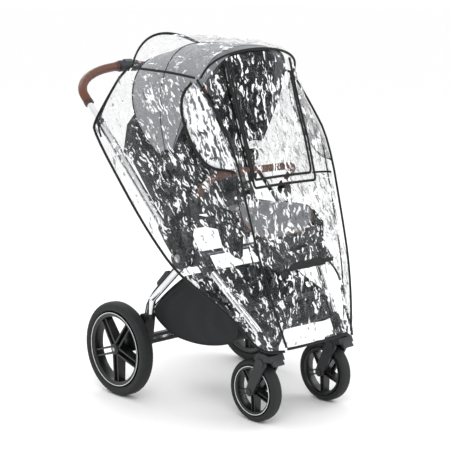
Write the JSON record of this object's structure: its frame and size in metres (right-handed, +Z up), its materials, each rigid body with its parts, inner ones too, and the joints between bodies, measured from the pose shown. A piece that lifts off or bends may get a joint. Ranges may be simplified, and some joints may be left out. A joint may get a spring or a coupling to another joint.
{
  "type": "pushchair with rain cover",
  "caption": "Pushchair with reclining seat, folding canopy, basket, leather push bar and a clear rain cover with a front window flap.",
  "frame": {"origin": "middle of the whole part in X and Y, on the ground in Z", "axes": "+X to the child's left, -Y forwards in the direction of travel, +Z up"},
  "size_m": [0.62, 0.9176, 1.1278],
  "materials": {
    "chrome_tube": "bright chromed tube",
    "chrome_trim": "bright chromed strip",
    "steel_pins": "turned and plated steel",
    "black_plastic": "fine moulded grain",
    "fork_plastic": "fine moulded grain",
    "button_plastic": "smooth moulded",
    "button_grey": "smooth moulded",
    "rim_plastic": "smooth moulded",
    "tyre_foam": "foam filled tyre with a fine tread",
    "brown_leather": "stitched and semi matt",
    "black_cloth": "woven polyester",
    "grey_cloth": "melange woven polyester",
    "canopy_cloth": "melange woven polyester",
    "basket_cloth": "woven polyester",
    "webbing": "flat woven webbing",
    "clear_pvc": "clear soft film with creases",
    "binding_cloth": "folded bias tape, stitched"
  },
  "bodies": {
    "chassis": {"fold_hub_left": "black_plastic", "fold_hub_right": "black_plastic", "fold_shaft": "steel_pins", "seat_adaptors": "black_plastic", "front_leg_left": "chrome_tube", "front_leg_right": "chrome_tube", "front_cross_bar": "black_plastic", "caster_housing_left": "black_plastic", "caster_housing_right": "black_plastic", "seat_shell": "black_plastic", "seat_pad": "grey_cloth", "harness_buckle": "black_plastic", "bumper_sockets": "black_plastic", "basket": "basket_cloth"},
    "rear_frame": {"rear_leg_left": "chrome_tube", "rear_leg_right": "chrome_tube", "fold_latches": "black_plastic", "axle_beam": "black_plastic", "axle_trim": "chrome_trim", "rear_housing_left": "black_plastic", "rear_housing_right": "black_plastic", "rear_axles": "steel_pins"},
    "brake_pedal": {"brake_pedal": "black_plastic"},
    "rear_wheel_left": {"rear_tyre_left": "tyre_foam", "rear_rim_left": "rim_plastic"},
    "rear_wheel_right": {"rear_tyre_right": "tyre_foam", "rear_rim_right": "rim_plastic"},
    "caster_left": {"caster_fork_left": "fork_plastic", "front_axle_left": "steel_pins"},
    "caster_right": {"caster_fork_right": "fork_plastic", "front_axle_right": "steel_pins"},
    "front_wheel_left": {"front_tyre_left": "tyre_foam", "front_rim_left": "rim_plastic"},
    "front_wheel_right": {"front_tyre_right": "tyre_foam", "front_rim_right": "rim_plastic"},
    "handle": {"handle_tube_left": "chrome_tube", "handle_tube_right": "chrome_tube"},
    "push_bar": {"push_bar_tube": "chrome_tube", "grip_left": "brown_leather", "grip_right": "brown_leather", "handle_centre": "fork_plastic"},
    "fold_button": {"fold_button": "button_grey"},
    "backrest": {"backrest_shell": "black_cloth", "backrest_pad": "black_cloth", "harness_straps": "webbing", "canopy_hinges": "black_plastic", "canopy_fabric": "canopy_cloth"},
    "canopy": {"canopy_visor": "canopy_cloth"},
    "legrest": {"legrest": "black_cloth", "legrest_pad": "grey_cloth"},
    "bumper_bar": {"bumper_bar": "brown_leather"},
    "buckle_button": {"buckle_button": "button_plastic"},
    "rain_cover": {"cover_roof": "clear_pvc", "cover_side_left": "clear_pvc", "cover_side_right": "clear_pvc", "cover_front": "clear_pvc", "cover_hem_binding": "binding_cloth", "cover_seam_bindings": "binding_cloth"},
    "window_flap": {"window_flap": "clear_pvc", "window_binding": "binding_cloth"}
  },
  "joints": [
    {"name": "rear_fold", "type": "hinge", "parent": "chassis", "child": "rear_frame", "pos_m": [0, -0.13118, 0.478], "axis": [-1, 0, 0], "range_deg": [0, 45], "deforming": ["cover_roof", "cover_side_left", "cover_side_right", "cover_front", "cover_hem_binding", "cover_seam_bindings", "window_flap", "window_binding"]},
    {"name": "brake_tip", "type": "hinge", "parent": "rear_frame", "child": "brake_pedal", "pos_m": [0, 0.10282, 0.197], "axis": [-1, 0, 0], "range_deg": [0, 20]},
    {"name": "rear_spin_left", "type": "hinge", "parent": "rear_frame", "child": "rear_wheel_left", "pos_m": [0.287, 0.13882, 0.15], "axis": [1, 0, 0], "continuous": true},
    {"name": "rear_spin_right", "type": "hinge", "parent": "rear_frame", "child": "rear_wheel_right", "pos_m": [-0.287, 0.13882, 0.15], "axis": [1, 0, 0], "continuous": true},
    {"name": "caster_swivel_left", "type": "hinge", "parent": "chassis", "child": "caster_left", "pos_m": [0.15, -0.40318, 0.222], "axis": [0, 0, 1], "continuous": true},
    {"name": "caster_swivel_right", "type": "hinge", "parent": "chassis", "child": "caster_right", "pos_m": [-0.15, -0.40318, 0.222], "axis": [0, 0, 1], "continuous": true},
    {"name": "front_spin_left", "type": "hinge", "parent": "caster_left", "child": "front_wheel_left", "pos_m": [0.15, -0.34118, 0.095], "axis": [1, 0, 0], "continuous": true},
    {"name": "front_spin_right", "type": "hinge", "parent": "caster_right", "child": "front_wheel_right", "pos_m": [-0.15, -0.34118, 0.095], "axis": [1, 0, 0], "continuous": true},
    {"name": "handle_fold", "type": "hinge", "parent": "chassis", "child": "handle", "pos_m": [0, -0.13118, 0.478], "axis": [1, 0, 0], "range_deg": [0, 150], "deforming": ["cover_roof", "cover_side_left", "cover_side_right", "cover_front", "cover_hem_binding", "cover_seam_bindings", "window_flap", "window_binding"]},
    {"name": "push_bar_slide", "type": "slide", "parent": "handle", "child": "push_bar", "axis": [0, 0.7157, 0.6984], "range_m": [0, 0.06], "deforming": ["cover_roof", "cover_side_left", "cover_side_right", "cover_front", "cover_hem_binding", "cover_seam_bindings", "window_flap", "window_binding"]},
    {"name": "fold_button_press", "type": "slide", "parent": "push_bar", "child": "fold_button", "axis": [0, 0, -1], "range_m": [0, 0.003], "stiffness_N_per_m": 300},
    {"name": "backrest_recline", "type": "hinge", "parent": "chassis", "child": "backrest", "pos_m": [0, -0.04318, 0.572], "axis": [-1, 0, 0], "range_deg": [0, 35], "deforming": ["cover_roof", "cover_side_left", "cover_side_right", "cover_front", "cover_hem_binding", "cover_seam_bindings", "window_flap", "window_binding"]},
    {"name": "canopy_fold", "type": "hinge", "parent": "backrest", "child": "canopy", "pos_m": [0, 0.01082, 0.738], "axis": [-1, 0, 0], "range_deg": [0, 60], "deforming": ["cover_roof", "cover_side_left", "cover_side_right", "cover_front", "cover_hem_binding", "cover_seam_bindings", "window_flap", "window_binding", "canopy_fabric"]},
    {"name": "legrest_tilt", "type": "hinge", "parent": "chassis", "child": "legrest", "pos_m": [0, -0.26918, 0.55], "axis": [1, 0, 0], "range_deg": [0, 35]},
    {"name": "bumper_swing", "type": "hinge", "parent": "chassis", "child": "bumper_bar", "pos_m": [0, -0.11918, 0.64], "axis": [1, 0, 0], "range_deg": [0, 50]},
    {"name": "buckle_press", "type": "slide", "parent": "chassis", "child": "buckle_button", "axis": [0, 0, -1], "range_m": [0, 0.002], "stiffness_N_per_m": 300},
    {"name": "cover_lift", "type": "slide", "parent": "chassis", "child": "rain_cover", "axis": [0, 0, 1], "range_m": [0, 1], "deforming": ["cover_roof", "cover_side_left", "cover_side_right", "cover_front", "cover_hem_binding", "cover_seam_bindings", "window_flap", "window_binding"]},
    {"name": "window_open", "type": "hinge", "parent": "rain_cover", "child": "window_flap", "pos_m": [0, -0.19818, 1.107], "axis": [-1, 0, 0], "range_deg": [0, 100], "deforming": ["window_flap", "window_binding", "cover_front"]}
  ]
}
